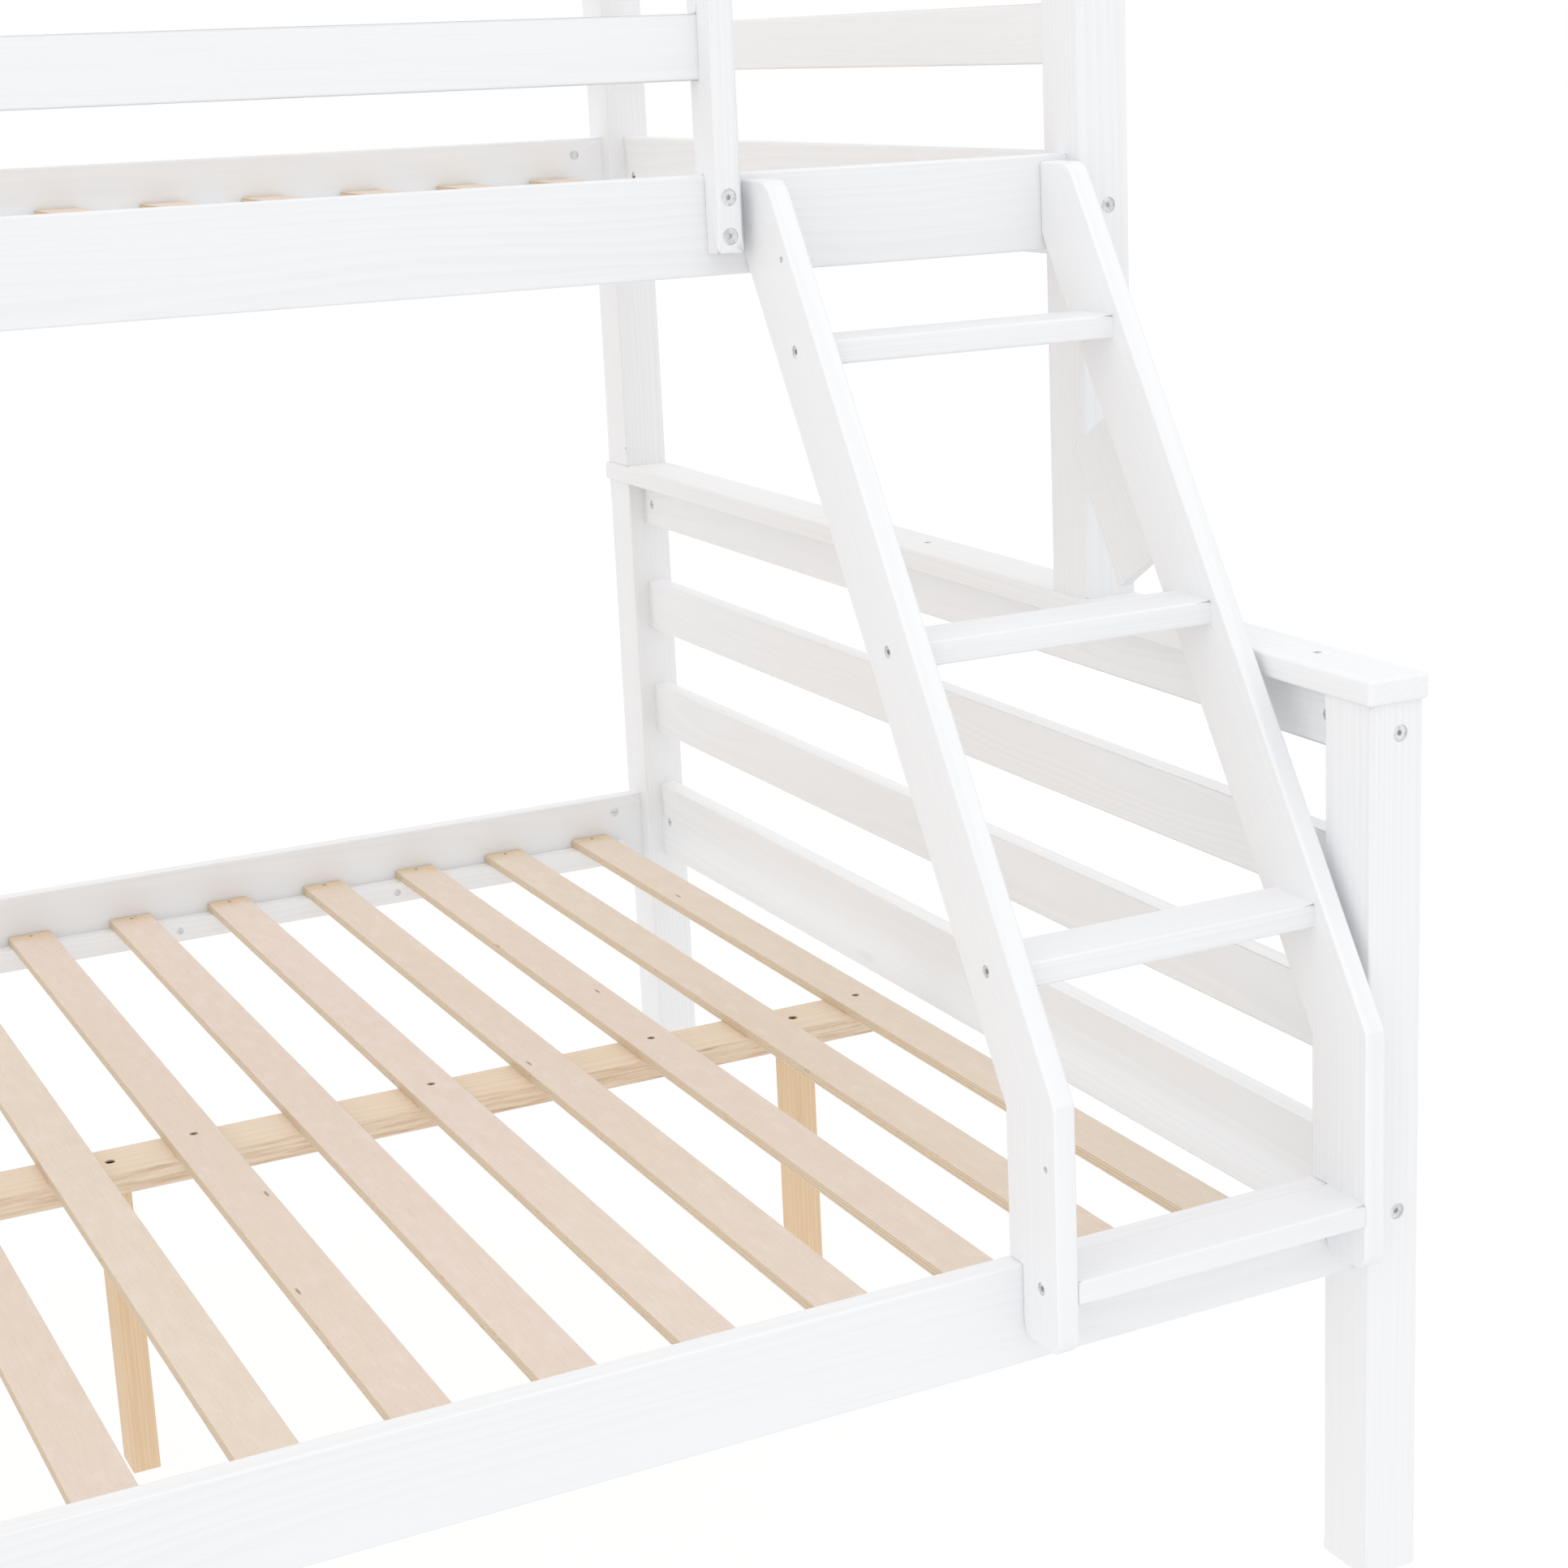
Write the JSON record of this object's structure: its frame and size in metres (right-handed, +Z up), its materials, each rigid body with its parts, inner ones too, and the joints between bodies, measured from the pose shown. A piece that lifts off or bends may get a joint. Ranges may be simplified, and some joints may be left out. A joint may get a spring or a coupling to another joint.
{
  "type": "bunk bed with ladder",
  "caption": "White painted pine twin-over-full bunk bed with natural wood slats, a centre support beam and a bent-sided ladder at one end.",
  "frame": {"origin": "centre of the bounding box at the floor, under the feet", "axes": "+X along the bed towards the ladder end, +Y towards the back, +Z up"},
  "size_m": [1.998, 1.487, 1.497],
  "materials": {
    "white_paint": "satin white paint over pine, with the grain showing in relief",
    "slat_wood": "sanded bare veneer with a clear satin coat",
    "beam_wood": "sanded bare pine with a clear satin coat",
    "dowel_wood": "bare beech dowels and pins",
    "zinc_steel": "bright zinc plate"
  },
  "bodies": {
    "root": {"lower_post_front_right": "white_paint", "lower_post_rear_right": "white_paint", "lower_post_front_left": "white_paint", "lower_post_rear_left": "white_paint", "lower_rail_front": "white_paint", "lower_rail_rear": "white_paint", "lower_ledger_front": "white_paint", "lower_ledger_rear": "white_paint", "lower_end_rail_right": "white_paint", "lower_end_slat1_right": "white_paint", "lower_end_slat2_right": "white_paint", "lower_top_rail_right": "white_paint", "lower_cap_right": "white_paint", "lower_end_rail_left": "white_paint", "lower_end_slat1_left": "white_paint", "lower_end_slat2_left": "white_paint", "lower_top_rail_left": "white_paint", "lower_cap_left": "white_paint", "centre_beam": "beam_wood", "centre_leg1": "beam_wood", "centre_leg2": "beam_wood", "centre_leg3": "beam_wood", "centre_leg4": "beam_wood", "lower_slats": "slat_wood", "upper_post_front_right": "white_paint", "upper_post_rear_right": "white_paint", "upper_post_front_left": "white_paint", "upper_post_rear_left": "white_paint", "upper_rail_front": "white_paint", "upper_rail_rear": "white_paint", "upper_ledger_front": "white_paint", "upper_ledger_rear": "white_paint", "upper_end_rail_right": "white_paint", "upper_end_slat1_right": "white_paint", "upper_end_slat2_right": "white_paint", "upper_top_rail_right": "white_paint", "upper_cap_right": "white_paint", "upper_end_rail_left": "white_paint", "upper_end_slat1_left": "white_paint", "upper_end_slat2_left": "white_paint", "upper_top_rail_left": "white_paint", "upper_cap_left": "white_paint", "upper_slats": "slat_wood", "guard_front_low": "white_paint", "guard_front_high": "white_paint", "guard_rear_low": "white_paint", "guard_rear_high": "white_paint", "guard_post": "white_paint", "ladder_side_left": "white_paint", "ladder_side_right": "white_paint", "ladder_step1": "white_paint", "ladder_step2": "white_paint", "ladder_step3": "white_paint", "ladder_step4": "white_paint", "ladder_side_plate": "white_paint", "frame_bolts": "zinc_steel", "barrel_nuts": "zinc_steel", "joint_bolts": "zinc_steel", "screws_and_nails": "zinc_steel", "pins_and_dowels": "dowel_wood"}
  },
  "joints": []
}
